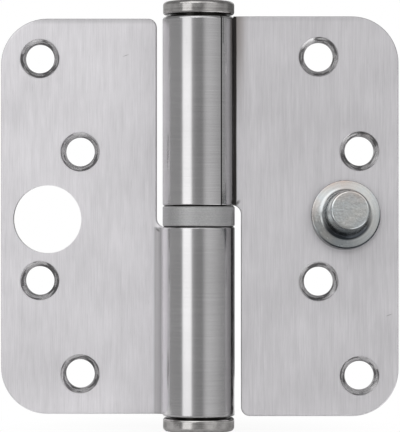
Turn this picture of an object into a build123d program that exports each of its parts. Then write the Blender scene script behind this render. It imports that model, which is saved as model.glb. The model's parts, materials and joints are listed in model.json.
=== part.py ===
from build123d import *
import os
from math import acos, atan2, cos, degrees, radians, sin, sqrt, tan

# A two-knuckle security butt hinge, opened flat. Z runs up the pin, the origin is
# on the pin's axis at half height, X runs across the leaves and -Y faces the viewer.

leaf_height = 89.0  # both leaves, along the pin
open_width = 89.0  # over both leaves, opened flat
sheet = 3.0  # thickness of the leaf, and of the knuckle's wall
knuckle_bore = 10.1  # inside of the rolled knuckle
shut_gap = 3.0  # between the two leaf faces when the hinge is shut
frame_bend = 2.4  # inside radius where the frame leaf turns up into its knuckle
door_bend = 0.6  # the same on the door leaf, which lies closer to the axis
seam_gap = 0.35  # between the end of the roll and the back of its own leaf
leaf_setback = 9.45  # from the axis to the free inner edge of a leaf
outer_corner = 10.4  # radius of the two outer corners
inner_corner = 1.95  # radius of the free inner corner and of the notch
edge_round = 0.3  # tumbled edge all round a leaf's front
upper_round = 0.75  # outer edge of the upper knuckle's top end
lower_round = 0.4  # outer edge of the lower knuckle's bottom end
knuckle_inner_round = 0.2  # the same at the ring
form_line_turn = 38.6  # degrees right of the viewer: the line that forming left on the upper knuckle
form_line = 0.22  # its width
form_line_depth = 0.18

ring_height = 4.85  # room for the spacer ring between the knuckles
ring_play = 0.04  # between the ring and the upper knuckle
ring_edge = 0.4  # chamfer on the ring

screw_hole = 6.5
screw_sink = 9.0
sink_angle = 90.0
screw_near_edge = 17.8  # inner column of screw holes, from the leaf's outer edge
screw_far_edge = 8.7  # outer column
screw_row_edge = leaf_height * 9 / 89  # outer rows, from the leaf's top and bottom
screw_row_pitch = leaf_height * 21 / 89  # from an outer row to the next

stud_hole = 15.35
stud_hole_edge = 10.4  # from the leaf's outer edge to the hole's middle
stud_hole_drop = 0.68  # below half height
stud_edge_in = 11.77  # from the leaf's outer edge to the stud
stud_rise = 0.33  # above half height
stud_lean = 7.2  # degrees towards the top edge, as on the hinge in the photo
stud_lean_out = 3.0  # degrees towards the outer edge
stud_body = 9.7  # at its root
stud_tip = 8.7  # it tapers, so that it finds its hole
stud_height = 8.2  # above its flange
stud_flange = 15.35
stud_flange_rim = 0.6
stud_flange_root = 0.9
stud_root = 1.5  # fillet between flange and body
stud_edge = 0.6  # rounded top edge
stud_tail = 7.0  # the riveted end inside the leaf

pin_head = 15.9
pin_head_height = 3.0
pin_head_round = 0.9
pin_head_under = 0.6  # round on the side of the head that faces the knuckle
head_stand = 0.4  # shoulder that keeps the head clear of the knuckle's end
head_neck = 12.6  # diameter of that shoulder
journal_play = 0.05  # radial, lower pin in the upper knuckle
journal_length = 17.0  # above half height
ball_diameter = 8.0
ball_seat = 7.2  # mouth of the cone in the lower pin
ball_play = 0.05  # under the upper pin
fit_gap = 0.02  # so that pieces which touch do not overlap

bore_radius = knuckle_bore / 2
knuckle_radius = bore_radius + sheet
half_height = leaf_height / 2
half_width = open_width / 2
half_ring = ring_height / 2
frame_offset = knuckle_radius - sheet  # the leaf's back lies flush with the knuckle's
door_offset = shut_gap - frame_offset
screw_near = half_width - screw_near_edge
screw_far = half_width - screw_far_edge
screw_rows = (half_height - screw_row_edge, half_height - screw_row_edge - screw_row_pitch)
stud_hole_reach = half_width - stud_hole_edge
stud_reach = half_width - stud_edge_in


def rolled_leaf(face_offset, bend_radius, knuckle_round):
    """A leaf that runs to +X with its knuckle on the upper half, its face at Y = face_offset."""
    bend_y = face_offset - bend_radius
    bend_far = knuckle_radius + bend_radius
    bend_x = sqrt(bend_far**2 - bend_y**2)
    neck = degrees(atan2(bend_y, bend_x))
    clear = bend_radius + sheet + seam_gap
    seam = degrees(acos((knuckle_radius**2 + bend_far**2 - clear**2) / (2 * knuckle_radius * bend_far)))
    roll = 360 - seam
    end = radians(neck + seam)
    roll_end = (cos(end), sin(end))
    back = face_offset + sheet
    with BuildPart() as leaf:
        with BuildSketch(Plane.XY.offset(-half_height)):
            with BuildLine():
                Line((half_width, face_offset), (bend_x, face_offset))
                CenterArc((bend_x, bend_y), bend_radius, 90, neck + 90)
                CenterArc((0, 0), knuckle_radius, neck, -roll)
                Line(
                    (knuckle_radius * roll_end[0], knuckle_radius * roll_end[1]),
                    (bore_radius * roll_end[0], bore_radius * roll_end[1]),
                )
                CenterArc((0, 0), bore_radius, neck, -roll)
                CenterArc((bend_x, bend_y), bend_radius + sheet, 90, neck + 90)
                Line((bend_x, back), (half_width, back))
                Line((half_width, back), (half_width, face_offset))
            make_face()
        extrude(amount=leaf_height)
        with BuildSketch(Plane.XZ):
            with BuildLine():
                FilletPolyline(
                    (-2 * knuckle_radius, half_height),
                    (half_width, half_height),
                    (half_width, -half_height),
                    (leaf_setback, -half_height),
                    (leaf_setback, half_ring),
                    (-2 * knuckle_radius, half_ring),
                    radius=[0, outer_corner, outer_corner, inner_corner, inner_corner, 0],
                    close=True,
                )
            make_face()
        extrude(amount=2 * knuckle_radius, both=True, mode=Mode.INTERSECT)
        face_edges = leaf.edges().filter_by_position(Axis.Y, face_offset - 0.001, face_offset + 0.001)
        fillet(face_edges, edge_round)
        for end_z, inward, end_round in (
            (half_height, -1, knuckle_round),
            (half_ring, 1, knuckle_inner_round),
        ):
            with BuildSketch(Plane.XZ):
                with Locations((knuckle_radius, end_z)):
                    Rectangle(2 * end_round, 2 * end_round)
                with Locations((knuckle_radius + end_round, end_z)):
                    Rectangle(2 * end_round, 4 * end_round, mode=Mode.SUBTRACT)
                with Locations((knuckle_radius - end_round, end_z + inward * end_round)):
                    Circle(end_round, mode=Mode.SUBTRACT)
            revolve(axis=Axis.Z, mode=Mode.SUBTRACT)
        with Locations(Plane.XZ.offset(-face_offset)):
            with Locations(
                (screw_near, screw_rows[0]),
                (screw_far, screw_rows[1]),
                (screw_near, -screw_rows[1]),
                (screw_far, -screw_rows[0]),
            ):
                CounterSinkHole(screw_hole / 2, screw_sink / 2, 2 * sheet, sink_angle)
    return leaf.part


door_blank = rolled_leaf(door_offset, door_bend, upper_round)
frame_blank = rolled_leaf(frame_offset, frame_bend, lower_round)

# The stud leans, and the seat of its flange is cut flat to the leaf, so it is thicker below.
stud_along = Vector(tan(radians(stud_lean_out)), -1, tan(radians(stud_lean))).normalized()
lean = acos(-stud_along.Y)
rim_lift = stud_flange / 2 * sin(lean) + fit_gap
stud_foot = (stud_reach, door_offset - rim_lift, stud_rise)
stud_plane = Plane(origin=stud_foot, x_dir=(1, 0, 0), z_dir=stud_along)
stud_profile = Plane(origin=stud_foot, x_dir=stud_plane.x_dir, z_dir=-stud_plane.y_dir)
tail_length = (rim_lift + sheet - stud_tail / 2 * sin(lean)) / cos(lean) - fit_gap

with BuildPart() as frame_leaf:
    add(frame_blank, rotation=(0, 180, 0))
    with Locations(Plane.XZ.offset(-frame_offset)):
        with Locations((-stud_hole_reach, -stud_hole_drop)):
            Hole(stud_hole / 2, 2 * sheet)

knuckle_length = half_height - half_ring
line_turn = radians(form_line_turn)
line_place = (knuckle_radius * sin(line_turn), -knuckle_radius * cos(line_turn), half_ring + knuckle_length / 2)

with BuildPart() as door_leaf:
    add(door_blank)
    with Locations(stud_plane):
        Cylinder(stud_tail / 2 + 0.1, 8 * sheet, mode=Mode.SUBTRACT)
    with Locations(Location(line_place, (0, 0, form_line_turn))):
        Box(form_line, 2 * form_line_depth, 2 * knuckle_length, mode=Mode.SUBTRACT)

with BuildPart() as security_stud:
    with BuildSketch(stud_profile):
        with BuildLine():
            FilletPolyline(
                (0, stud_flange_root + stud_height),
                (stud_tip / 2, stud_flange_root + stud_height),
                (stud_body / 2, stud_flange_root),
                (stud_flange / 2, stud_flange_rim),
                (stud_flange / 2, -2 * rim_lift),
                (0, -2 * rim_lift),
                radius=[0, stud_edge, stud_root, 0.2, 0, 0],
                close=True,
            )
        make_face()
    revolve(axis=Axis(stud_foot, stud_along))
    with BuildSketch(Plane.XZ.offset(fit_gap - door_offset)):
        with Locations((stud_reach, stud_rise)):
            Circle(stud_flange)
    extrude(amount=-stud_flange, mode=Mode.SUBTRACT)
    with Locations(stud_plane):
        Cylinder(stud_tail / 2, tail_length, align=(Align.CENTER, Align.CENTER, Align.MAX))

ball_z = journal_length - ball_seat / 2 + ball_diameter / 2 * sqrt(2) + fit_gap
ball_top = ball_z + ball_diameter / 2
head_top = half_height + head_stand + pin_head_height

with BuildPart() as lower_pin:
    with BuildSketch(Plane.XZ):
        with BuildLine():
            FilletPolyline(
                (0, -head_top),
                (pin_head / 2, -head_top),
                (pin_head / 2, -half_height - head_stand),
                (head_neck / 2, -half_height - head_stand),
                (head_neck / 2, -half_height),
                (bore_radius, -half_height),
                (bore_radius, -half_ring),
                (bore_radius - journal_play, -half_ring),
                (bore_radius - journal_play, journal_length),
                (ball_seat / 2, journal_length),
                (0, journal_length - ball_seat / 2),
                radius=[0, pin_head_round, pin_head_under, 0, 0, 0, 0, 0, 0.4, 0, 0],
                close=True,
            )
        make_face()
    revolve(axis=Axis.Z)

with BuildPart() as upper_pin:
    with BuildSketch(Plane.XZ):
        with BuildLine():
            FilletPolyline(
                (0, head_top),
                (pin_head / 2, head_top),
                (pin_head / 2, half_height + head_stand),
                (head_neck / 2, half_height + head_stand),
                (head_neck / 2, half_height),
                (bore_radius, half_height),
                (bore_radius, ball_top + ball_play),
                (0, ball_top + ball_play),
                radius=[0, pin_head_round, pin_head_under, 0, 0, 0, 0.4, 0],
                close=True,
            )
        make_face()
    revolve(axis=Axis.Z)

with BuildPart() as bearing_ball:
    with Locations((0, 0, ball_z)):
        Sphere(ball_diameter / 2)

with BuildPart() as spacer_ring:
    with BuildSketch(Plane.XY.offset(-half_ring)):
        Circle(knuckle_radius)
        Circle(bore_radius + journal_play, mode=Mode.SUBTRACT)
    extrude(amount=ring_height - ring_play)
    chamfer(spacer_ring.edges().filter_by(GeomType.CIRCLE).group_by(SortBy.RADIUS)[-1], ring_edge)

frame_leaf.part.label = "frame_leaf"
door_leaf.part.label = "door_leaf"
lower_pin.part.label = "lower_pin"
upper_pin.part.label = "upper_pin"
bearing_ball.part.label = "bearing_ball"
spacer_ring.part.label = "spacer_ring"
security_stud.part.label = "security_stud"

os.makedirs("parts", exist_ok=True)
export_step(frame_leaf.part, "parts/frame_leaf.step")
export_step(door_leaf.part, "parts/door_leaf.step")
export_step(lower_pin.part, "parts/lower_pin.step")
export_step(upper_pin.part, "parts/upper_pin.step")
export_step(bearing_ball.part, "parts/bearing_ball.step")
export_step(spacer_ring.part, "parts/spacer_ring.step")
export_step(security_stud.part, "parts/security_stud.step")
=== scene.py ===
import json
import math
import bmesh
import bpy
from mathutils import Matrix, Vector

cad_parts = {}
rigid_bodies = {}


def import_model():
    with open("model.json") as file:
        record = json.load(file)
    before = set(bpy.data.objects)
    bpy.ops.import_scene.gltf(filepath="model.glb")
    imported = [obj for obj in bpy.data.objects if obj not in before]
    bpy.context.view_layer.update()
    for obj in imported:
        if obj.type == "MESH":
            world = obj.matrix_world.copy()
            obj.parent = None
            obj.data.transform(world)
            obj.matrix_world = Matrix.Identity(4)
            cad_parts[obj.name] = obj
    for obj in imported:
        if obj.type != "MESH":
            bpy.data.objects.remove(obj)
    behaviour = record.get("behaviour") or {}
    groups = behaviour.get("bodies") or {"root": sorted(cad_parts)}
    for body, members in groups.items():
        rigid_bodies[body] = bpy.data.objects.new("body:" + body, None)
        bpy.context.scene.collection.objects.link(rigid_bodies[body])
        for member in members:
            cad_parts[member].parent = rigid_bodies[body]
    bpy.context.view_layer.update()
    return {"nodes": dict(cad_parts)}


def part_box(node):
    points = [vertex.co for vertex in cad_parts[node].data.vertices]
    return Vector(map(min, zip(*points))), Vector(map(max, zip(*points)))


for leftover in list(bpy.data.objects):  # the startup cube, lamp and camera
    bpy.data.objects.remove(leftover)

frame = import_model()
scene = bpy.context.scene
scene.view_settings.view_transform = "Standard"
nodes = frame["nodes"]
print("frame loaded:", sorted(nodes))

# Settings that many nodes share
smooth = {"interpolation_type": "SMOOTHSTEP"}
mixColour = {"data_type": "RGBA"}
tintColour = {"data_type": "RGBA", "blend_type": "MULTIPLY"}
mixValue = {"data_type": "FLOAT"}
add = {"operation": "ADD"}
subtract = {"operation": "SUBTRACT"}
multiply = {"operation": "MULTIPLY"}
multiplyAdd = {"operation": "MULTIPLY_ADD"}
maximum = {"operation": "MAXIMUM"}
absolute = {"operation": "ABSOLUTE"}
lessThan = {"operation": "LESS_THAN"}
greaterThan = {"operation": "GREATER_THAN"}
length = {"operation": "LENGTH"}
distance = {"operation": "DISTANCE"}
dotProduct = {"operation": "DOT_PRODUCT"}
white = (1.0, 1.0, 1.0, 1.0)


def hexColour(code):
    parts = [int(code[i:i + 2], 16) / 255 for i in (1, 3, 5)]
    return tuple(p / 12.92 if p <= 0.04045 else ((p + 0.055) / 1.055) ** 2.4 for p in parts) + (1.0,)


def addNode(tree, kind, settings=None, inputs=None):
    node = tree.nodes.new(kind)
    for name, value in (settings or {}).items():
        setattr(node, name, value)
    for name, value in (inputs or {}).items():
        if isinstance(value, bpy.types.Node):  # a node stands for its first output in use
            value = next(output for output in value.outputs if output.enabled)
        if isinstance(value, bpy.types.NodeSocket):
            tree.links.new(value, node.inputs[name])
        else:
            node.inputs[name].default_value = value
    return node


def newMaterial(name):
    material = bpy.data.materials.new(name)
    material.use_nodes = True
    material.node_tree.nodes.clear()
    return material, material.node_tree


def fillRamp(node, stops):
    ramp = node.color_ramp
    while len(ramp.elements) < len(stops):
        ramp.elements.new(0.5)
    for element, (place, level) in zip(ramp.elements, stops):
        element.position = place
        element.color = (level, level, level, 1.0)


# Brushed stainless, belt ground along the pin: fine streaks and a broad soft sheen. The rolling
# tool ironed the knuckles, so they are smoother and mirror the room in upright bands.
# The corner beside the knuckle, the knuckle's right side and ends, and the upper edge get painted shade, and
# each leaf's tone is painted light and shade.
leafFinish = {
    "sheet": "#FBF9FC",
    "sheetDark": "#E8E6E9",
    "sheetRoughness": (0.50, 0.60),
    "streakShare": 0.45,  # of the broad streaks, against the cloud
    "slowShare": 0.5,  # of those two together, against the fine streaks
    "groundLevels": (0.39, 0.61),  # noise levels that give the dark and the light tone
    "lightAndShadeHeights": (-0.03, 0.042),  # m, heights for each leaf's two tones of painted light and shade
    "topShadeLine": (0.0430, 0.0445),  # m, height where the painted shade along the upper edge starts and where it is full
    "knuckle": "#D2D1D2",
    "knuckleDark": "#C4C3C4",
    "knuckleRoughness": (0.12, 0.21),
    "cloudShare": 0.4,  # of the cloud, against the iron marks
    "markLevels": (0.36, 0.62),
    "ironLevels": (0.3, 0.7),
    "cut": "#FAF9FA",  # punched and drilled edges, which the belt doesn't reach
    "cutDark": "#9B9A9B",
    "cutRoughness": 0.22,
    "chatterLevels": (0.43, 0.50),
    "shearTone": 0.35,  # share of the light tone on the sheared outer edges
    # colour of all painted shade on the leaves and knuckles, and of the specks, scratches and nicks
    "shadeAndMarks": "#2A2725",
    "brownTint": "#7A6E63",  # brown tint beside the upper knuckle, fuller upwards
    "brownTintAcross": (0.0083, 0.0115),  # m, x where it is full and where it ends
    "brownTintUp": (0.018, 0.042),  # m, height where it starts and where it is full
    "sheetThickness": 0.003,
    "faceSkin": 0.00012,  # m, cut edges start this far behind the face and end before the back
    "backSkin": 0.00005,
    "outline": 0.0425,  # m, the countersinks lie within it and the sheared outer edges don't
    "cornerShare": 0.53,  # what |x| + |z| counts towards that, for the round corners
    "innerEdge": 0.0096,  # m, |x| of the free edge that faces the other knuckle
    "endHeight": 0.0444,  # m from half height: beyond this are the knuckle's ends
    "endRim": 0.0002,  # m of the ends left out of the painted shade
    "ringHeight": 0.00254,
    "ringGap": 0.0001,
    "knuckleRadius": 0.00806,  # m, outside of the rolled part
    "rollFade": 0.0009,
    "sideShadeEnd": 0.0074,  # m, x where the painted shade on the knuckle's right side is full
    "sideShadeDepth": 0.62,
    "sideShadeFront": (-0.003, -0.001),  # m, y where that painted shade is full and where it ends
    "beltOver": 0.6,  # share of the belt's tone on the roll, on its leaf's side
    "cornerShadeCore": 0.55,  # share of the corner's painted shade that is fully dark
    "cornerShadeRagged": 0.0003,  # m, how far its edge wanders
    "scratchDark": 0.30,
    "scratchLevels": (0.74, 0.80),
    "speckSpacing": 0.007,
    "speckSize": 0.00014,
    "speckCore": 0.4,  # share of a speck that is fully dark
    "speckDark": 0.4,
    "sheetBump": 0.22,
    "knuckleBump": 0.06,
    "bumpDepth": 0.00002,
    "waveGain": 8.0,  # height of the slow waves, in heights of an iron mark
}
leafGrains = {  # size of a mark along x, y and z in m, turn about y, octaves and their strength
    "streaks": ((0.00022, 0.00022, 0.009), 0.0, 5.0, 0.72),  # twice a real belt scratch, to show
    "broadStreaks": ((0.0013, 0.0013, 0.009), 0.0, 3.0, 0.6),
    "ironMarks": ((1 / 90, 1 / 90, 0.00016), 0.0, 4.0, 0.7),  # round the knuckle, from the rolling tool
    "cloud": ((1 / 70, 1 / 70, 1 / 70), 0.0, 3.0, 0.5),  # handling
    "scratches": ((0.00006, 0.00006, 0.004), 1.2, 1.0, 0.5),
    "chatter": ((0.0034, 0.0006, 0.0034), 0.0, 2.0, 0.5),  # lines that the countersink left
    "waves": ((0.003, 0.003, 0.012), 0.0, 1.0, 0.5),  # slow, from rolling, they bend reflections
}
leafSides = {
    "frame_leaf": {
        "tone": (1.03, 1.03),  # share of the sheet's colour, low and high on the leaf: painted light, this leaf lightened as the light falls on it
        "half": -1.0,  # its knuckle is in the lower half
        "topShade": 0.26,
        "face": 0.00505,  # m, y of the countersunk face
        "flatStart": 0.0102,  # m, |x| where the bend ends
        "belt": (-0.0066, -0.0074),  # m, x where the belt's marks start on the roll and are full
        "sideShadeStart": 0.0057,
        "brownTint": 0.0,
        "corner": (-0.0090, 0.0050, 0.0),  # m, middle of the corner that gets painted shade, and its reach
        "reach": 0.0013,
        "dark": 0.40,
        "innerEdgeShade": 0.0,
        "notchShadeAndNicks": [  # x and z, turn, half length and half width in m, fully dark share, how dark
            ((-0.0092, -0.0031), -0.65, (0.0013, 0.0006), 0.1, 0.72),  # painted shade in the notch's corner
            ((-0.0164, 0.0362), 0.35, (0.0009, 0.00009), 0.4, 0.45)],  # a nick
    },
    "door_leaf": {
        # painted shade: the door leaf darkened, more so upwards, as the light falls on it
        "tone": (0.95, 0.84),
        "half": 1.0,
        "topShade": 0.10,
        "face": -0.00205,
        "flatStart": 0.0083,
        "belt": (0.0084, 0.0090),
        "sideShadeStart": 0.0064,
        "brownTint": 0.62,
        "corner": (0.00812, -0.0023, 0.0),
        "reach": 0.00052,
        "dark": 0.96,
        "innerEdgeShade": 0.3,
        "notchShadeAndNicks": [
            # painted shade in the notch's corner
            ((0.0085, 0.0029), 0.75, (0.0013, 0.0006), 0.1, 0.72),
            ((0.0424, -0.0220), 0.35, (0.0009, 0.00009), 0.4, 0.45)],
    },
}
formLineShade = {  # a forming line on the front of the upper knuckle and a shorter line beside it, both painted dark as shade and reflection
    "turn": math.radians(38.6),  # right of the front
    "width": 0.00017,  # m, half of it
    "shortTurn": math.radians(42.4),
    "shortWidth": 0.00013,
    "shortEnd": 0.0382,  # m, height where it ends
    "shortDark": 0.6,
    "front": -0.005,  # m, both lie before this y
}


def measureLeaf(tree, finish):
    place = addNode(tree, "ShaderNodeTexCoord").outputs["Object"]
    split = addNode(tree, "ShaderNodeSeparateXYZ", None, {"Vector": place})
    spots = {"place": place, "x": split.outputs["X"], "y": split.outputs["Y"], "z": split.outputs["Z"]}
    spots["aside"] = addNode(tree, "ShaderNodeMath", absolute, {0: spots["x"]})
    spots["upward"] = addNode(tree, "ShaderNodeMath", absolute, {0: spots["z"]})
    spots["plan"] = addNode(tree, "ShaderNodeCombineXYZ", None, {"X": spots["x"], "Y": spots["y"]})
    spots["upright"] = addNode(tree, "ShaderNodeCombineXYZ", None, {"X": spots["x"], "Y": spots["z"]})
    spots["radius"] = addNode(tree, "ShaderNodeVectorMath", length, {0: spots["plan"]})
    spots["rolled"] = addNode(tree, "ShaderNodeMapRange", smooth, {
        "Value": spots["radius"], "From Min": finish["knuckleRadius"],
        "From Max": finish["knuckleRadius"] + finish["rollFade"], "To Min": 1.0, "To Max": 0.0})
    spots["unrolled"] = addNode(tree, "ShaderNodeMath", subtract, {0: 1.0, 1: spots["rolled"]})
    for name, (size, turn, octaves, strength) in leafGrains.items():
        stretched = addNode(tree, "ShaderNodeMapping", None, {
            "Vector": place, "Rotation": (0.0, turn, 0.0), "Scale": tuple(1 / part for part in size)})
        spots[name] = addNode(tree, "ShaderNodeTexNoise", None, {
            "Vector": stretched, "Scale": 1.0, "Detail": octaves, "Roughness": strength})
    uneasy = addNode(tree, "ShaderNodeMix", mixValue, {
        "Factor": finish["streakShare"], "A": spots["cloud"], "B": spots["broadStreaks"]})
    both = addNode(tree, "ShaderNodeMix", mixValue, {
        "Factor": finish["slowShare"], "A": spots["streaks"], "B": uneasy})
    low, high = finish["groundLevels"]
    spots["ground"] = addNode(tree, "ShaderNodeMapRange", None, {
        "Value": both, "From Min": low, "From Max": high})
    return spots


# Belt-ground sheet, and the ironed roll that it runs into
def leafColour(tree, spots, finish, side):
    sheet = addNode(tree, "ShaderNodeMix", mixColour, {
        "Factor": spots["ground"], "A": hexColour(finish["sheetDark"]), "B": hexColour(finish["sheet"])})
    marks = addNode(tree, "ShaderNodeMix", mixValue, {
        "Factor": finish["cloudShare"], "A": spots["ironMarks"], "B": spots["cloud"]})
    low, high = finish["markLevels"]
    marked = addNode(tree, "ShaderNodeMapRange", None, {"Value": marks, "From Min": low, "From Max": high})
    knuckle = addNode(tree, "ShaderNodeMix", mixColour, {
        "Factor": marked, "A": hexColour(finish["knuckleDark"]), "B": hexColour(finish["knuckle"])})
    beltStart, beltEnd = side["belt"]
    leafward = addNode(tree, "ShaderNodeMapRange", smooth, {
        "Value": spots["x"], "From Min": beltStart, "From Max": beltEnd, "To Max": finish["beltOver"]})
    knuckle = addNode(tree, "ShaderNodeMix", mixColour, {"Factor": leafward, "A": knuckle, "B": sheet})
    # painted shade on the knuckle's right side, towards the front
    shadedSide = addNode(tree, "ShaderNodeMapRange", smooth, {
        "Value": spots["x"], "From Min": side["sideShadeStart"], "From Max": finish["sideShadeEnd"],
        "To Max": finish["sideShadeDepth"]})
    sideShadeFull, sideShadeGone = finish["sideShadeFront"]
    facing = addNode(tree, "ShaderNodeMapRange", smooth, {
        "Value": spots["y"], "From Min": sideShadeFull, "From Max": sideShadeGone, "To Min": 1.0, "To Max": 0.0})
    sideShade = addNode(tree, "ShaderNodeMath", multiply, {0: shadedSide, 1: facing})
    knuckle = addNode(tree, "ShaderNodeMix", mixColour, {
        "Factor": sideShade, "A": knuckle, "B": hexColour(finish["shadeAndMarks"])})

    # painted light and shade: the sheet lightened or darkened by height, per leaf
    low, high = finish["lightAndShadeHeights"]
    lightAndShadeLow, lightAndShadeHigh = side["tone"]
    tone = addNode(tree, "ShaderNodeMapRange", None, {
        "Value": spots["z"], "From Min": low, "From Max": high, "To Min": lightAndShadeLow, "To Max": lightAndShadeHigh})
    sheet = addNode(tree, "ShaderNodeMix", tintColour, {"Factor": 1.0, "A": sheet, "B": tone})
    brownNear, brownFar = finish["brownTintAcross"]
    nearRoll = addNode(tree, "ShaderNodeMapRange", smooth, {
        "Value": spots["x"], "From Min": brownNear, "From Max": brownFar,
        "To Min": side["brownTint"], "To Max": 0.0})
    brownLow, brownHigh = finish["brownTintUp"]
    nearTop = addNode(tree, "ShaderNodeMapRange", smooth, {
        "Value": spots["z"], "From Min": brownLow, "From Max": brownHigh})
    tinted = addNode(tree, "ShaderNodeMath", multiply, {0: nearRoll, 1: nearTop})
    sheet = addNode(tree, "ShaderNodeMix", mixColour, {
        "Factor": tinted, "A": sheet, "B": hexColour(finish["brownTint"])})
    return addNode(tree, "ShaderNodeMix", mixColour, {"Factor": spots["rolled"], "A": sheet, "B": knuckle})


# Where the leaf was cut: countersinks with chatter lines, and sheared outer edges
def leafCuts(tree, spots, finish, side):
    cut = addNode(tree, "ShaderNodeMath", greaterThan, {0: spots["y"], 1: side["face"] + finish["faceSkin"]})
    back = side["face"] + finish["sheetThickness"] - finish["backSkin"]
    inside = addNode(tree, "ShaderNodeMath", lessThan, {0: spots["y"], 1: back})
    onFlat = addNode(tree, "ShaderNodeMath", greaterThan, {0: spots["aside"], 1: side["flatStart"]})
    for mask in (inside, spots["unrolled"], onFlat):
        cut = addNode(tree, "ShaderNodeMath", multiply, {0: cut, 1: mask})

    toCorner = addNode(tree, "ShaderNodeMath", add, {0: spots["aside"], 1: spots["upward"]})
    toCorner = addNode(tree, "ShaderNodeMath", multiply, {0: toCorner, 1: finish["cornerShare"]})
    outward = addNode(tree, "ShaderNodeMath", maximum, {0: spots["aside"], 1: spots["upward"]})
    outward = addNode(tree, "ShaderNodeMath", maximum, {0: toCorner, 1: outward})
    inSink = addNode(tree, "ShaderNodeMath", lessThan, {0: outward, 1: finish["outline"]})
    low, high = finish["chatterLevels"]
    chatter = addNode(tree, "ShaderNodeMapRange", None, {
        "Value": spots["chatter"], "From Min": low, "From Max": high})
    chatter = addNode(tree, "ShaderNodeMix", mixValue, {
        "Factor": inSink, "A": finish["shearTone"], "B": chatter})
    tone = addNode(tree, "ShaderNodeMix", mixColour, {
        "Factor": chatter, "A": hexColour(finish["cutDark"]), "B": hexColour(finish["cut"])})
    return cut, tone


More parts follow.
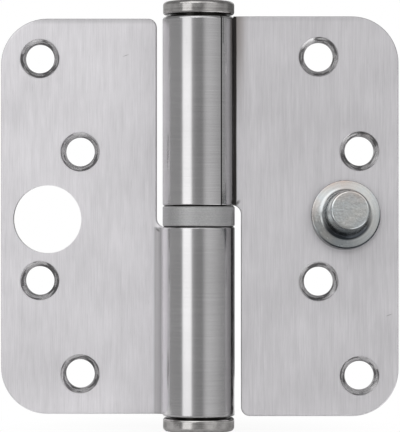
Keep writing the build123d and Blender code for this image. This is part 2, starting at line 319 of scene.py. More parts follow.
# Everything dark on the leaf: painted shade by the knuckle, on the upper edge, the knuckle's ends, the inner
# edge and the notch, forming lines painted dark, specks, a nick and scratches
def leafShadeAndSoil(tree, spots, finish, side, cut):
    # painted shade in the corner beside the knuckle, with a ragged edge
    fromCorner = addNode(tree, "ShaderNodeVectorMath", distance, {0: spots["plan"], 1: side["corner"]})
    ragged = addNode(tree, "ShaderNodeMath", multiplyAdd, {
        0: spots["streaks"], 1: -finish["cornerShadeRagged"], 2: fromCorner})
    inset = finish["cornerShadeRagged"] / 2
    shadeAndMarks = addNode(tree, "ShaderNodeMapRange", smooth, {
        "Value": ragged, "From Min": side["reach"] * finish["cornerShadeCore"] - inset,
        "From Max": side["reach"] - inset, "To Min": side["dark"], "To Max": 0.0})
    towardRoll = addNode(tree, "ShaderNodeMath", multiply, {0: spots["z"], 1: side["half"]})
    besideRoll = addNode(tree, "ShaderNodeMath", greaterThan, {0: towardRoll, 1: finish["ringHeight"]})
    # painted shade along the leaf's upper edge
    edgeStart, edgeFull = finish["topShadeLine"]
    topShadeLine = addNode(tree, "ShaderNodeMapRange", smooth, {
        "Value": spots["z"], "From Min": edgeStart, "From Max": edgeFull, "To Max": side["topShade"]})
    shadeAndSoil = []
    for dark, area in ((shadeAndMarks, besideRoll), (topShadeLine, spots["unrolled"])):
        shadeAndSoil.append(addNode(tree, "ShaderNodeMath", multiply, {0: dark, 1: area}))

    # the forming lines, painted dark as shade and reflection
    offLines = []
    for turn in (formLineShade["turn"], formLineShade["shortTurn"]):
        across = addNode(tree, "ShaderNodeVectorMath", dotProduct, {
            0: spots["plan"], 1: (math.cos(turn), math.sin(turn), 0.0)})
        offLines.append(addNode(tree, "ShaderNodeMath", absolute, {0: across}))
    front = addNode(tree, "ShaderNodeMath", lessThan, {0: spots["y"], 1: formLineShade["front"]})
    upper = addNode(tree, "ShaderNodeMath", greaterThan, {0: spots["z"], 1: 0.0})
    inFront = addNode(tree, "ShaderNodeMath", multiply, {0: front, 1: upper})
    line = addNode(tree, "ShaderNodeMath", lessThan, {0: offLines[0], 1: formLineShade["width"]})
    shortLine = addNode(tree, "ShaderNodeMapRange", smooth, {
        "Value": offLines[1], "From Min": 0.0, "From Max": 2 * formLineShade["shortWidth"],
        "To Min": formLineShade["shortDark"], "To Max": 0.0})
    above = addNode(tree, "ShaderNodeMath", greaterThan, {0: spots["z"], 1: formLineShade["shortEnd"]})
    shortLine = addNode(tree, "ShaderNodeMath", multiply, {0: shortLine, 1: above})
    for drawn in (line, shortLine):
        shadeAndSoil.append(addNode(tree, "ShaderNodeMath", multiply, {0: drawn, 1: inFront}))

    # painted shade on the knuckle's ends, under the pin heads, and beside the ring
    atEnd = addNode(tree, "ShaderNodeMath", greaterThan, {0: spots["upward"], 1: finish["endHeight"]})
    atRing = addNode(tree, "ShaderNodeMath", lessThan, {0: spots["upward"], 1: finish["ringHeight"]})
    endReach = finish["knuckleRadius"] - finish["endRim"]
    ringReach = finish["knuckleRadius"] + finish["ringGap"]
    for level, reach in ((atEnd, endReach), (atRing, ringReach)):
        within = addNode(tree, "ShaderNodeMath", lessThan, {0: spots["radius"], 1: reach})
        shadeAndSoil.append(addNode(tree, "ShaderNodeMath", multiply, {0: level, 1: within}))
    # painted shade on the free edge beside the other knuckle
    byKnuckle = addNode(tree, "ShaderNodeMath", lessThan, {0: spots["aside"], 1: finish["innerEdge"]})
    innerEdge = addNode(tree, "ShaderNodeMath", multiply, {0: cut, 1: byKnuckle})
    shadeAndSoil.append(addNode(tree, "ShaderNodeMath", multiply, {0: innerEdge, 1: side["innerEdgeShade"]}))

    for middle, turn, size, core, dark in side["notchShadeAndNicks"]:
        local = addNode(tree, "ShaderNodeMapping", {"vector_type": "TEXTURE"}, {
            "Vector": spots["upright"], "Location": middle + (0.0,), "Rotation": (0.0, 0.0, turn),
            "Scale": size + (1.0,)})
        away = addNode(tree, "ShaderNodeVectorMath", length, {0: local})
        shadeAndSoil.append(addNode(tree, "ShaderNodeMapRange", smooth, {
            "Value": away, "From Min": core, "From Max": 1.0, "To Min": dark, "To Max": 0.0}))
    specks = addNode(tree, "ShaderNodeTexVoronoi", None, {
        "Vector": spots["place"], "Scale": 1 / finish["speckSpacing"]})
    speckReach = finish["speckSize"] / finish["speckSpacing"]
    shadeAndSoil.append(addNode(tree, "ShaderNodeMapRange", None, {
        "Value": specks, "From Min": finish["speckCore"] * speckReach, "From Max": speckReach,
        "To Min": finish["speckDark"], "To Max": 0.0}))
    low, high = finish["scratchLevels"]
    shadeAndSoil.append(addNode(tree, "ShaderNodeMapRange", None, {
        "Value": spots["scratches"], "From Min": low, "From Max": high, "To Max": finish["scratchDark"]}))

    darkest = shadeAndSoil[0]
    for mask in shadeAndSoil[1:]:
        darkest = addNode(tree, "ShaderNodeMath", maximum, {0: darkest, 1: mask})
    return darkest


def brushedStainless(name, finish, side):
    material, tree = newMaterial(name)
    spots = measureLeaf(tree, finish)
    cut, cutTone = leafCuts(tree, spots, finish, side)
    colour = addNode(tree, "ShaderNodeMix", mixColour, {
        "Factor": cut, "A": leafColour(tree, spots, finish, side), "B": cutTone})
    # painted shade and real marks darken the colour
    colour = addNode(tree, "ShaderNodeMix", mixColour, {
        "Factor": leafShadeAndSoil(tree, spots, finish, side, cut), "A": colour, "B": hexColour(finish["shadeAndMarks"])})

    smoothest, roughest = finish["sheetRoughness"]
    grinding = addNode(tree, "ShaderNodeMapRange", None, {
        "Value": spots["ground"], "To Min": smoothest, "To Max": roughest})
    grinding = addNode(tree, "ShaderNodeMix", mixValue, {
        "Factor": cut, "A": grinding, "B": finish["cutRoughness"]})
    smoothest, roughest = finish["knuckleRoughness"]
    low, high = finish["ironLevels"]
    ironing = addNode(tree, "ShaderNodeMapRange", None, {
        "Value": spots["ironMarks"], "From Min": low, "From Max": high,
        "To Min": smoothest, "To Max": roughest})
    roughness = addNode(tree, "ShaderNodeMix", mixValue, {
        "Factor": spots["rolled"], "A": grinding, "B": ironing})

    uneven = addNode(tree, "ShaderNodeMath", multiplyAdd, {
        0: spots["waves"], 1: finish["waveGain"], 2: spots["ironMarks"]})
    height = addNode(tree, "ShaderNodeMix", mixValue, {
        "Factor": spots["rolled"], "A": spots["streaks"], "B": uneven})
    strength = addNode(tree, "ShaderNodeMapRange", None, {
        "Value": spots["rolled"], "To Min": finish["sheetBump"], "To Max": finish["knuckleBump"]})
    bump = addNode(tree, "ShaderNodeBump", None, {
        "Strength": strength, "Distance": finish["bumpDepth"], "Height": height})
    surface = addNode(tree, "ShaderNodeBsdfPrincipled", None, {
        "Base Color": colour, "Metallic": 1.0, "Roughness": roughness, "Normal": bump})
    addNode(tree, "ShaderNodeOutputMaterial", None, {"Surface": surface})
    return material


# Turned stainless pins: fine rings from the lathe tool, a grey a little warmer than the leaves.
# The shanks between the heads get painted shade, for the slots under the heads, and grease.
pinFinish = {
    "metal": "#D3D1CF",
    "metalDark": "#A3A09F",
    "roughness": (0.08, 0.22),
    # colour of the painted shade in the slots, and of grease
    "greaseAndShade": "#2B2A28",
    "greaseAndShadeHeight": (0.0449, 0.0452),  # m from half height where it is full and where it ends
    "ringPitch": 0.00018,
    "wearSize": 1 / 420,
    "wearShare": 0.45,  # of the wear, against the rings
    "levels": (0.38, 0.60),
    "bump": 0.10,
    "bumpDepth": 0.00002,
}


def turnedStainless(finish):
    material, tree = newMaterial("turnedStainless")
    place = addNode(tree, "ShaderNodeTexCoord").outputs["Object"]
    split = addNode(tree, "ShaderNodeSeparateXYZ", None, {"Vector": place})
    plan = addNode(tree, "ShaderNodeCombineXYZ", None, {"X": split.outputs["X"], "Y": split.outputs["Y"]})
    radius = addNode(tree, "ShaderNodeVectorMath", length, {0: plan})
    lathe = addNode(tree, "ShaderNodeCombineXYZ", None, {"X": radius, "Y": split.outputs["Z"]})
    fine = 1 / finish["ringPitch"]
    grain = addNode(tree, "ShaderNodeMapping", None, {"Vector": lathe, "Scale": (fine, fine, 1.0)})
    rings = addNode(tree, "ShaderNodeTexNoise", None, {
        "Vector": grain, "Scale": 1.0, "Detail": 3.0, "Roughness": 0.65})
    wear = addNode(tree, "ShaderNodeTexNoise", None, {
        "Vector": place, "Scale": 1 / finish["wearSize"], "Detail": 4.0, "Roughness": 0.6})
    both = addNode(tree, "ShaderNodeMix", mixValue, {"Factor": finish["wearShare"], "A": rings, "B": wear})
    low, high = finish["levels"]
    spread = addNode(tree, "ShaderNodeMapRange", None, {"Value": both, "From Min": low, "From Max": high})
    colour = addNode(tree, "ShaderNodeMix", mixColour, {
        "Factor": spread, "A": hexColour(finish["metalDark"]), "B": hexColour(finish["metal"])})
    # painted shade, with grease, on the shanks and in the slot under each head
    upward = addNode(tree, "ShaderNodeMath", absolute, {0: split.outputs["Z"]})
    shadeFull, shadeEnd = finish["greaseAndShadeHeight"]
    greasedAndShaded = addNode(tree, "ShaderNodeMapRange", smooth, {
        "Value": upward, "From Min": shadeFull, "From Max": shadeEnd, "To Min": 1.0, "To Max": 0.0})
    colour = addNode(tree, "ShaderNodeMix", mixColour, {
        "Factor": greasedAndShaded, "A": colour, "B": hexColour(finish["greaseAndShade"])})
    smoothest, roughest = finish["roughness"]
    roughness = addNode(tree, "ShaderNodeMapRange", None, {
        "Value": spread, "To Min": smoothest, "To Max": roughest})
    bump = addNode(tree, "ShaderNodeBump", None, {
        "Strength": finish["bump"], "Distance": finish["bumpDepth"], "Height": rings})
    surface = addNode(tree, "ShaderNodeBsdfPrincipled", None, {
        "Base Color": colour, "Metallic": 1.0, "Roughness": roughness, "Normal": bump})
    addNode(tree, "ShaderNodeOutputMaterial", None, {"Surface": surface})
    return material


# Sintered iron ring: pressed powder, matte grey, fine grain, faint lines from sizing.
ringFinish = {
    "metal": "#CBCBCB",
    "metalDark": "#B5B5B6",
    "metallic": 0.8,  # pores between the grains dull it
    "roughness": 0.5,
    # colour of the painted shade beside the knuckles, and of grease
    "greaseAndShade": "#2B2A28",
    "greaseAndShadeHeight": 0.00222,  # m from half height: the chamfers and ends beyond it get painted shade and grease
    "grainSize": 0.00022,
    "lineLength": 1 / 60,
    "linePitch": 0.0003,
    "lineShare": 0.28,  # of the lines, against the grain
    "levels": (0.35, 0.65),
    "bump": 0.2,
    "bumpDepth": 0.00003,
}


def sinteredIron(finish):
    material, tree = newMaterial("sinteredIron")
    place = addNode(tree, "ShaderNodeTexCoord").outputs["Object"]
    grain = addNode(tree, "ShaderNodeTexNoise", None, {
        "Vector": place, "Scale": 1 / finish["grainSize"], "Detail": 3.0})
    long = 1 / finish["lineLength"]
    sized = addNode(tree, "ShaderNodeMapping", None, {
        "Vector": place, "Scale": (long, long, 1 / finish["linePitch"])})
    lines = addNode(tree, "ShaderNodeTexNoise", None, {"Vector": sized, "Scale": 1.0, "Detail": 3.0})
    both = addNode(tree, "ShaderNodeMix", mixValue, {"Factor": finish["lineShare"], "A": grain, "B": lines})
    low, high = finish["levels"]
    spread = addNode(tree, "ShaderNodeMapRange", None, {"Value": both, "From Min": low, "From Max": high})
    colour = addNode(tree, "ShaderNodeMix", mixColour, {
        "Factor": spread, "A": hexColour(finish["metalDark"]), "B": hexColour(finish["metal"])})
    split = addNode(tree, "ShaderNodeSeparateXYZ", None, {"Vector": place})
    # painted shade, with grease, on the chamfers and ends beside the knuckles
    upward = addNode(tree, "ShaderNodeMath", absolute, {0: split.outputs["Z"]})
    greasedAndShaded = addNode(tree, "ShaderNodeMath", greaterThan, {0: upward, 1: finish["greaseAndShadeHeight"]})
    colour = addNode(tree, "ShaderNodeMix", mixColour, {
        "Factor": greasedAndShaded, "A": colour, "B": hexColour(finish["greaseAndShade"])})
    bump = addNode(tree, "ShaderNodeBump", None, {
        "Strength": finish["bump"], "Distance": finish["bumpDepth"], "Height": grain})
    surface = addNode(tree, "ShaderNodeBsdfPrincipled", None, {
        "Base Color": colour, "Metallic": finish["metallic"], "Roughness": finish["roughness"],
        "Normal": bump})
    addNode(tree, "ShaderNodeOutputMaterial", None, {"Surface": surface})
    return material


# Bright zinc plate over a cold-headed stud: cool and glossy, faint straw and pink patches.
# The header's punch left the end face mottled. Painted shade and dirt lie on the flange's side wall, a
# painted dark reflection on the stud's lower half, and a painted shadow line on the flange's lower edge.
zincFinish = {
    "blue": "#C8CED1",
    "straw": "#D5D5D2",
    "pink": "#D0C3BB",
    "patchSize": 0.0045,
    "patchLevels": (0.38, 0.66),
    "blushSize": 0.005625,
    "blushShift": (0.013, 0.007, 0.021),  # m, so that pink doesn't follow the straw patches
    "blushAim": (-0.35, 0.0, 0.94),  # pink gathers this way from the stud's middle
    "blushReach": 0.008,
    "blushGain": (-0.30, 0.34),  # added to the noise at the middle and at that reach
    "blushLevels": (0.45, 0.8),
    "mottleSize": 0.00055,
    "mottleLevels": (0.3, 0.7),
    "roughness": (0.11, 0.28),
    "sideBump": 0.05,
    "endBump": 0.42,
    "bumpDepth": 0.00006,
    "turnPitch": 0.00032,  # m, rings that turning left on the flange
    "turnTone": 0.88,  # the darkest ring
    "turnLevels": (0.35, 0.65),
    # colour of the painted shade and reflection on the stud, and of the dirt on the flange's wall
    "shadeAndSoil": "#242A32",
    "middle": (0.03273, -0.0031, 0.00033),  # m, where the stud stands
    "along": (0.05193, -0.99079, 0.12517),  # its axis
    "endFace": 0.0089,  # m along that axis
    "endFade": 0.0002,
    "wall": 0.00056,  # m along the axis: the flange's side wall below this gets painted shade and dirt
    "wallFade": 0.0002,
    "wallShadeAndSoil": 0.9,
    "wallDrop": 0.0001,  # the painted shade comes this much higher at the bottom
    "wallHeights": (-0.007, -0.003),  # m from the stud's middle, where that is full and where it ends
    "tail": -0.0026,  # the riveted end beyond this gets no painted shade or dirt
    "rootLow": 0.0009,
    "rootRadius": 0.0062,
    "rootFade": 0.0007,
    "darkReflection": [  # painted dark reflection from the root to the end face: dark, lighter, dark again below the end's edge
        (0.0, 0.95), (0.25, 0.92), (0.42, 0.62), (0.64, 0.66), (0.78, 0.96), (0.945, 0.94), (0.985, 0.0)],
    "darkReflectionHeights": (-0.0038, 0.0008),  # m from the stud's middle: the painted reflection fades upwards, lying on the stud's lower side
    "darkReflectionAbove": 0.12,
    "rimShadowLine": (0.00730, 0.00745),  # m, radius where the painted shadow line on the flange's edge starts and is full
    "rimShadowReach": (-0.0055, 0.0005),  # m along blushAim: it is full low on the right, and where it ends
    "rimShadowDepth": 0.95,
}


# Zinc's own colours: cool patches, pink towards one side, and turning rings on the flange
def zincColour(tree, spots, finish):
    patches = addNode(tree, "ShaderNodeTexNoise", None, {
        "Vector": spots["place"], "Scale": 1 / finish["patchSize"], "Detail": 3.0, "Roughness": 0.55})
    low, high = finish["patchLevels"]
    patch = addNode(tree, "ShaderNodeMapRange", None, {"Value": patches, "From Min": low, "From Max": high})
    colour = addNode(tree, "ShaderNodeMix", mixColour, {
        "Factor": patch, "A": hexColour(finish["blue"]), "B": hexColour(finish["straw"])})
    shifted = addNode(tree, "ShaderNodeMapping", None, {
        "Vector": spots["place"], "Location": finish["blushShift"]})
    blush = addNode(tree, "ShaderNodeTexNoise", None, {
        "Vector": shifted, "Scale": 1 / finish["blushSize"], "Detail": 2.0})
    least, most = finish["blushGain"]
    gathered = addNode(tree, "ShaderNodeMapRange", None, {
        "Value": spots["corner"], "From Min": 0.0, "From Max": finish["blushReach"],
        "To Min": least, "To Max": most})
    blush = addNode(tree, "ShaderNodeMath", add, {0: blush, 1: gathered})
    low, high = finish["blushLevels"]
    blush = addNode(tree, "ShaderNodeMapRange", None, {"Value": blush, "From Min": low, "From Max": high})
    colour = addNode(tree, "ShaderNodeMix", mixColour, {
        "Factor": blush, "A": colour, "B": hexColour(finish["pink"])})
    turned = addNode(tree, "ShaderNodeMath", {"operation": "DIVIDE"}, {
        0: spots["radius"], 1: finish["turnPitch"]})
    rings = addNode(tree, "ShaderNodeTexNoise", {"noise_dimensions": "1D"}, {
        "W": turned, "Scale": 1.0, "Detail": 2.0})
    low, high = finish["turnLevels"]
    ringTone = addNode(tree, "ShaderNodeMapRange", None, {
        "Value": rings, "From Min": low, "From Max": high, "To Min": finish["turnTone"], "To Max": 1.0})
    ringTone = addNode(tree, "ShaderNodeMix", mixValue, {"Factor": spots["within"], "A": ringTone, "B": 1.0})
    return addNode(tree, "ShaderNodeMix", tintColour, {"Factor": 1.0, "A": colour, "B": ringTone})


# Painted shade and dirt on the flange's side wall, a painted dark reflection on the stud's lower half, and a
# painted shadow line on the flange's edge
def zincShadeAndSoil(tree, spots, finish):
    # painted shade and dirt on the flange's side wall, higher at the bottom
    bottom, top = finish["wallHeights"]
    sunk = addNode(tree, "ShaderNodeMapRange", smooth, {
        "Value": spots["drop"], "From Min": bottom, "From Max": top,
        "To Min": finish["wallDrop"], "To Max": 0.0})
    wallReach = addNode(tree, "ShaderNodeMath", subtract, {0: spots["reach"], 1: sunk})
    wall = addNode(tree, "ShaderNodeMapRange", smooth, {
        "Value": wallReach, "From Min": finish["wall"] - finish["wallFade"], "From Max": finish["wall"],
        "To Min": finish["wallShadeAndSoil"], "To Max": 0.0})

    # painted dark reflection on the stud's lower half
    height = addNode(tree, "ShaderNodeMapRange", None, {
        "Value": spots["reach"], "From Min": finish["rootLow"],
        "From Max": finish["endFace"] + finish["endFade"]})
    darkReflection = addNode(tree, "ShaderNodeValToRGB", None, {"Fac": height})
    fillRamp(darkReflection, finish["darkReflection"])
    bottom, top = finish["darkReflectionHeights"]
    lowerSide = addNode(tree, "ShaderNodeMapRange", smooth, {
        "Value": spots["drop"], "From Min": bottom, "From Max": top,
        "To Min": 1.0, "To Max": finish["darkReflectionAbove"]})
    for mask in (spots["within"], lowerSide):
        darkReflection = addNode(tree, "ShaderNodeMath", multiply, {0: darkReflection, 1: mask})

    # painted shadow line on the flange's lower edge
    edgeStart, edgeEnd = finish["rimShadowLine"]
    rimShadowLine = addNode(tree, "ShaderNodeMapRange", smooth, {
        "Value": spots["radius"], "From Min": edgeStart, "From Max": edgeEnd})
    full, gone = finish["rimShadowReach"]
    lower = addNode(tree, "ShaderNodeMapRange", smooth, {
        "Value": spots["corner"], "From Min": full, "From Max": gone,
        "To Min": finish["rimShadowDepth"], "To Max": 0.0})
    rimShadowLine = addNode(tree, "ShaderNodeMath", multiply, {0: rimShadowLine, 1: lower})

    shadedAndSoiled = wall
    for mask in (darkReflection, rimShadowLine):
        shadedAndSoiled = addNode(tree, "ShaderNodeMath", maximum, {0: shadedAndSoiled, 1: mask})
    outside = addNode(tree, "ShaderNodeMath", greaterThan, {0: spots["reach"], 1: finish["tail"]})
    return addNode(tree, "ShaderNodeMath", multiply, {0: shadedAndSoiled, 1: outside})


def zincPlate(finish):
    material, tree = newMaterial("zincPlate")
    place = addNode(tree, "ShaderNodeTexCoord").outputs["Object"]
    offset = addNode(tree, "ShaderNodeVectorMath", subtract, {0: place, 1: finish["middle"]})
    spots = {"place": place}
    for name, aim in (("reach", finish["along"]), ("drop", (0.0, 0.0, 1.0)), ("corner", finish["blushAim"])):
        spots[name] = addNode(tree, "ShaderNodeVectorMath", dotProduct, {0: offset, 1: aim})
    span = addNode(tree, "ShaderNodeVectorMath", length, {0: offset})
    spanSquare = addNode(tree, "ShaderNodeMath", multiply, {0: span, 1: span})
    reachSquare = addNode(tree, "ShaderNodeMath", multiply, {0: spots["reach"], 1: spots["reach"]})
    around = addNode(tree, "ShaderNodeMath", subtract, {0: spanSquare, 1: reachSquare})
    spots["radius"] = addNode(tree, "ShaderNodeMath", {"operation": "SQRT"}, {0: around})
    spots["within"] = addNode(tree, "ShaderNodeMapRange", smooth, {
        "Value": spots["radius"], "From Min": finish["rootRadius"] - finish["rootFade"],
        "From Max": finish["rootRadius"], "To Min": 1.0, "To Max": 0.0})
    # painted shade, painted reflection and dirt darken the zinc
    colour = addNode(tree, "ShaderNodeMix", mixColour, {
        "Factor": zincShadeAndSoil(tree, spots, finish), "A": zincColour(tree, spots, finish),
        "B": hexColour(finish["shadeAndSoil"])})

    mottle = addNode(tree, "ShaderNodeTexNoise", None, {
        "Vector": place, "Scale": 1 / finish["mottleSize"], "Detail": 3.0, "Roughness": 0.6})
    smoothest, roughest = finish["roughness"]
    low, high = finish["mottleLevels"]
    roughness = addNode(tree, "ShaderNodeMapRange", None, {
        "Value": mottle, "From Min": low, "From Max": high, "To Min": smoothest, "To Max": roughest})
    onEnd = addNode(tree, "ShaderNodeMapRange", smooth, {
        "Value": spots["reach"], "From Min": finish["endFace"] - finish["endFade"],
        "From Max": finish["endFace"] + finish["endFade"]})
    strength = addNode(tree, "ShaderNodeMapRange", None, {
        "Value": onEnd, "To Min": finish["sideBump"], "To Max": finish["endBump"]})
    bump = addNode(tree, "ShaderNodeBump", None, {
        "Strength": strength, "Distance": finish["bumpDepth"], "Height": mottle})
    surface = addNode(tree, "ShaderNodeBsdfPrincipled", None, {
        "Base Color": colour, "Metallic": 1.0, "Roughness": roughness, "Normal": bump})
    addNode(tree, "ShaderNodeOutputMaterial", None, {"Surface": surface})
    return material


# Lapped bearing steel: a bright mirror with a faint haze where grease has dried.
ballFinish = {
    "metal": "#D4D5D7",
    "haze": "#B9B7B2",
    "hazeSize": 0.0025,
    "hazeLevels": (0.48, 0.66),
    "roughness": (0.08, 0.22),
}


def bearingSteel(finish):
    material, tree = newMaterial("bearingSteel")
    place = addNode(tree, "ShaderNodeTexCoord").outputs["Object"]
    clouds = addNode(tree, "ShaderNodeTexNoise", None, {
        "Vector": place, "Scale": 1 / finish["hazeSize"], "Detail": 4.0, "Roughness": 0.6})
    low, high = finish["hazeLevels"]
    haze = addNode(tree, "ShaderNodeMapRange", smooth, {"Value": clouds, "From Min": low, "From Max": high})
    colour = addNode(tree, "ShaderNodeMix", mixColour, {
        "Factor": haze, "A": hexColour(finish["metal"]), "B": hexColour(finish["haze"])})
    smoothest, roughest = finish["roughness"]
    roughness = addNode(tree, "ShaderNodeMapRange", None, {
        "Value": haze, "To Min": smoothest, "To Max": roughest})
    surface = addNode(tree, "ShaderNodeBsdfPrincipled", None, {
        "Base Color": colour, "Metallic": 1.0, "Roughness": roughness})
    addNode(tree, "ShaderNodeOutputMaterial", None, {"Surface": surface})
    return material


pinSteel = turnedStainless(pinFinish)
finishes = {
    "frame_leaf": brushedStainless("brushedStainlessFrame", leafFinish, leafSides["frame_leaf"]),
    "door_leaf": brushedStainless("brushedStainlessDoor", leafFinish, leafSides["door_leaf"]),
    "lower_pin": pinSteel,
    "upper_pin": pinSteel,
    "spacer_ring": sinteredIron(ringFinish),
    "security_stud": zincPlate(zincFinish),
    "bearing_ball": bearingSteel(ballFinish),
}
for name, material in finishes.items():
    nodes[name].material_slots[0].material = material
print("finishes set:", len(finishes))

# Studio: a white room, a round paper floor under the lower pin head, and flags that the lens
# can't see. Polished metal mirrors the flags as dark and bright bands.
studio = {
    "floorRadius": 0.11,
    "floorSides": 96,
    "floorBack": 0.098,  # its middle is behind the hinge
    "floorColour": "#F6F6F6",
    "floorGlow": 0.93,  # right under the pin, where the shadow shows
    "shadowFull": 0.006,  # m from the pin's axis
    "shadowEnd": 0.055,
    "mirrorEnd": 0.09,  # polished metal shows the shaded paper out to here
    "flagRadius": 0.9,
    "flagSegments": (96, 48),
    "bandHeight": 0.28,  # sine of the elevation where the eye-level flags end
    "bandFade": 0.10,
    "bandGain": 1.6,
    "band": [  # turn: 0.5 faces the camera, less is to its left, 0.25 is square left
        (0.00, 0.34), (0.14, 0.28), (0.185, 0.255), (0.22, 0.25), (0.32, 0.23), (0.440, 0.30),
        (0.480, 0.20), (0.530, 0.18), (0.551, 0.32), (0.568, 0.40), (0.592, 0.42), (0.630, 0.38),
        (0.670, 0.33), (0.700, 0.28), (0.745, 0.235), (0.775, 0.22), (0.800, 0.16), (0.826, 0.10),
        (0.960, 0.11)],
    "strip": (0.346, 0.362, 0.428, 0.447),  # turns: a tall bright strip to the left fades in and out
    "stripHeight": 0.16,
    "stripFade": 0.05,
    "stripLevel": 1.52,
    "rimLevel": 0.255,  # flags all round, level with the leaves
    "rimInner": 0.45,  # cosine of the angle off the camera's axis
    "rimOuter": -0.80,
    "rimFade": 0.14,
    "benchLevel": 0.34,  # dark bench top in front of and below the hinge
    "benchHeight": -0.36,  # sine of the elevation
    "benchFade": 0.12,
    "cardAim": (0.60, -0.05, -0.80),  # small white card low on the right, for glints on edges
    "cardInner": 0.90,  # cosine of its angle off that aim
    "cardOuter": 0.82,
    "cardLevel": 1.25,
    "boxPlace": (-0.30, -0.47, 0.40),  # soft box above, to the left
    "boxSize": (0.80, 0.40),
    "boxPower": 0.62,
}


def buildWorld():
    world = bpy.data.worlds.new("whiteRoom")
    scene.world = world
    world.use_nodes = True
    tree = world.node_tree
    tree.nodes.clear()
    room = addNode(tree, "ShaderNodeBackground", None, {"Color": white, "Strength": 1.0})
    addNode(tree, "ShaderNodeOutputWorld", None, {"Surface": room})


def flagCloth(setup):
    material, tree = newMaterial("flagCloth")
    place = addNode(tree, "ShaderNodeTexCoord").outputs["Object"]
    aim = addNode(tree, "ShaderNodeVectorMath", {"operation": "NORMALIZE"}, {0: place})
    split = addNode(tree, "ShaderNodeSeparateXYZ", None, {"Vector": aim})
    toCamera = addNode(tree, "ShaderNodeMath", multiply, {0: split.outputs["Y"], 1: -1.0})
    turn = addNode(tree, "ShaderNodeMath", {"operation": "ARCTAN2"}, {0: split.outputs["X"], 1: toCamera})
    share = addNode(tree, "ShaderNodeMapRange", None, {
        "Value": turn, "From Min": -math.pi, "From Max": math.pi})
    level = addNode(tree, "ShaderNodeMath", absolute, {0: split.outputs["Z"]})

    masks = {}
    for name, measure in (("band", level), ("strip", level), ("bench", split.outputs["Z"])):
        edge, fade = setup[name + "Height"], setup[name + "Fade"]
        masks[name] = addNode(tree, "ShaderNodeMapRange", smooth, {
            "Value": measure, "From Min": edge - fade, "From Max": edge + fade, "To Min": 1.0, "To Max": 0.0})
    inner = addNode(tree, "ShaderNodeMapRange", smooth, {
        "Value": toCamera, "From Min": setup["rimInner"] - setup["rimFade"],
        "From Max": setup["rimInner"] + setup["rimFade"], "To Min": 1.0, "To Max": 0.0})
    outer = addNode(tree, "ShaderNodeMapRange", smooth, {
        "Value": toCamera, "From Min": setup["rimOuter"] - setup["rimFade"],
        "From Max": setup["rimOuter"] + setup["rimFade"]})
    masks["rim"] = addNode(tree, "ShaderNodeMath", multiply, {0: inner, 1: outer})
    masks["bench"] = addNode(tree, "ShaderNodeMath", multiply, {0: masks["bench"], 1: outer})
    starts, full, ends, gone = setup["strip"]
    rise = addNode(tree, "ShaderNodeMapRange", smooth, {"Value": share, "From Min": starts, "From Max": full})
    fall = addNode(tree, "ShaderNodeMapRange", smooth, {
        "Value": share, "From Min": ends, "From Max": gone, "To Min": 1.0, "To Max": 0.0})
    wide = addNode(tree, "ShaderNodeMath", multiply, {0: rise, 1: fall})
    masks["strip"] = addNode(tree, "ShaderNodeMath", multiply, {0: wide, 1: masks["strip"]})
    offCard = addNode(tree, "ShaderNodeVectorMath", dotProduct, {0: aim, 1: setup["cardAim"]})
    masks["card"] = addNode(tree, "ShaderNodeMapRange", smooth, {
        "Value": offCard, "From Min": setup["cardOuter"], "From Max": setup["cardInner"]})

    band = addNode(tree, "ShaderNodeValToRGB", None, {"Fac": share})
    fillRamp(band, setup["band"])
    cloth = addNode(tree, "ShaderNodeBsdfTransparent")
    for name, colour, strength in (  # from the farthest to the nearest
            ("rim", white, setup["rimLevel"]), ("bench", white, setup["benchLevel"]),
            ("band", band, setup["bandGain"]), ("strip", white, setup["stripLevel"]),
            ("card", white, setup["cardLevel"])):
        light = addNode(tree, "ShaderNodeEmission", None, {"Color": colour, "Strength": strength})
        cloth = addNode(tree, "ShaderNodeMixShader", None, {"Fac": masks[name], 1: cloth, 2: light})
    addNode(tree, "ShaderNodeOutputMaterial", None, {"Surface": cloth})
    return material


def buildFlags(setup):
    mesh = bpy.data.meshes.new("flags")
    shell = bmesh.new()
    across, upward = setup["flagSegments"]
    bmesh.ops.create_uvsphere(shell, u_segments=across, v_segments=upward, radius=setup["flagRadius"])
    shell.to_mesh(mesh)
    shell.free()
    flags = bpy.data.objects.new("flags", mesh)
    scene.collection.objects.link(flags)
    flags.visible_camera = False
    flags.visible_shadow = False
    mesh.materials.append(flagCloth(setup))


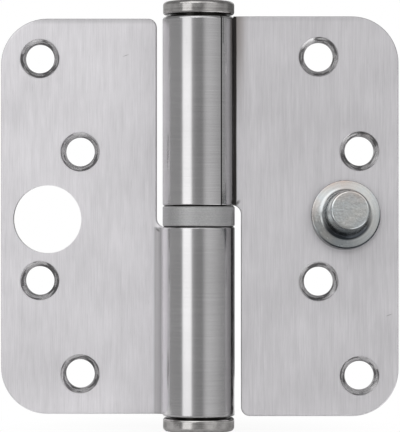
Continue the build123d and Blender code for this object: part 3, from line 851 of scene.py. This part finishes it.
# White paper that keeps the shadow under the pin, for the lens and in what the metal mirrors
def paperFloor(setup, low):
    material, tree = newMaterial("paperFloor")
    paper = addNode(tree, "ShaderNodeBsdfDiffuse", None, {"Color": hexColour(setup["floorColour"])})
    glow = addNode(tree, "ShaderNodeEmission", None, {"Color": white, "Strength": 1.0})
    rays = addNode(tree, "ShaderNodeLightPath").outputs
    place = addNode(tree, "ShaderNodeTexCoord").outputs["Object"]
    away = addNode(tree, "ShaderNodeVectorMath", distance, {0: place, 1: (0.0, 0.0, low)})
    glowing = addNode(tree, "ShaderNodeMapRange", smooth, {
        "Value": away, "From Min": setup["shadowFull"], "From Max": setup["shadowEnd"],
        "To Min": setup["floorGlow"], "To Max": 1.0})
    direct = addNode(tree, "ShaderNodeMath", multiply, {0: rays["Is Camera Ray"], 1: glowing})
    brightening = addNode(tree, "ShaderNodeMapRange", smooth, {
        "Value": away, "From Min": setup["shadowFull"], "From Max": setup["mirrorEnd"]})
    mirrored = addNode(tree, "ShaderNodeMath", maximum, {
        0: rays["Is Glossy Ray"], 1: rays["Is Transmission Ray"]})
    mirrored = addNode(tree, "ShaderNodeMath", multiply, {0: mirrored, 1: brightening})
    share = addNode(tree, "ShaderNodeMath", maximum, {0: direct, 1: mirrored})
    mix = addNode(tree, "ShaderNodeMixShader", None, {"Fac": share, 1: paper, 2: glow})
    addNode(tree, "ShaderNodeOutputMaterial", None, {"Surface": mix})
    return material


def buildFloor(setup):
    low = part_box("lower_pin")[0][2]
    mesh = bpy.data.meshes.new("floor")
    reach, sides = setup["floorRadius"], setup["floorSides"]
    turns = [2 * math.pi * i / sides for i in range(sides)]
    ring = [(reach * math.cos(turn), setup["floorBack"] + reach * math.sin(turn), low) for turn in turns]
    mesh.from_pydata(ring, [], [tuple(range(sides))])
    floor = bpy.data.objects.new("floor", mesh)
    scene.collection.objects.link(floor)
    mesh.materials.append(paperFloor(setup, low))


def addSoftBox(setup):
    data = bpy.data.lights.new("softBox", "AREA")
    data.shape = "RECTANGLE"
    data.size, data.size_y = setup["boxSize"]
    data.energy = setup["boxPower"]
    lamp = bpy.data.objects.new("softBox", data)
    lamp.location = setup["boxPlace"]
    lamp.rotation_euler = (-Vector(setup["boxPlace"])).to_track_quat("-Z", "Y").to_euler()
    scene.collection.objects.link(lamp)


buildWorld()
addSoftBox(studio)
buildFlags(studio)
buildFloor(studio)
print("studio built")

# Camera: level, square to the leaves, far back with a long lens as in the picture.
view = {
    "distance": 0.60,
    "centreX": 0.0003,
    "centreZ": 0.00005,
    "imageWidth": 400,  # pixels
    "pixelsPerMetre": 4477.0,  # in the plane of the pin's axis
    "sensor": 36.0,  # mm
    "nearest": 0.01,
}
cameraData = bpy.data.cameras.new("camera")
cameraData.sensor_fit = "HORIZONTAL"
cameraData.sensor_width = view["sensor"]
cameraData.lens = view["sensor"] * view["distance"] / (view["imageWidth"] / view["pixelsPerMetre"])
cameraData.clip_start = view["nearest"]
camera = bpy.data.objects.new("camera", cameraData)
camera.location = (view["centreX"], -view["distance"], view["centreZ"])
camera.rotation_euler = (math.pi / 2, 0, 0)
scene.collection.objects.link(camera)
scene.camera = camera
print("camera set")
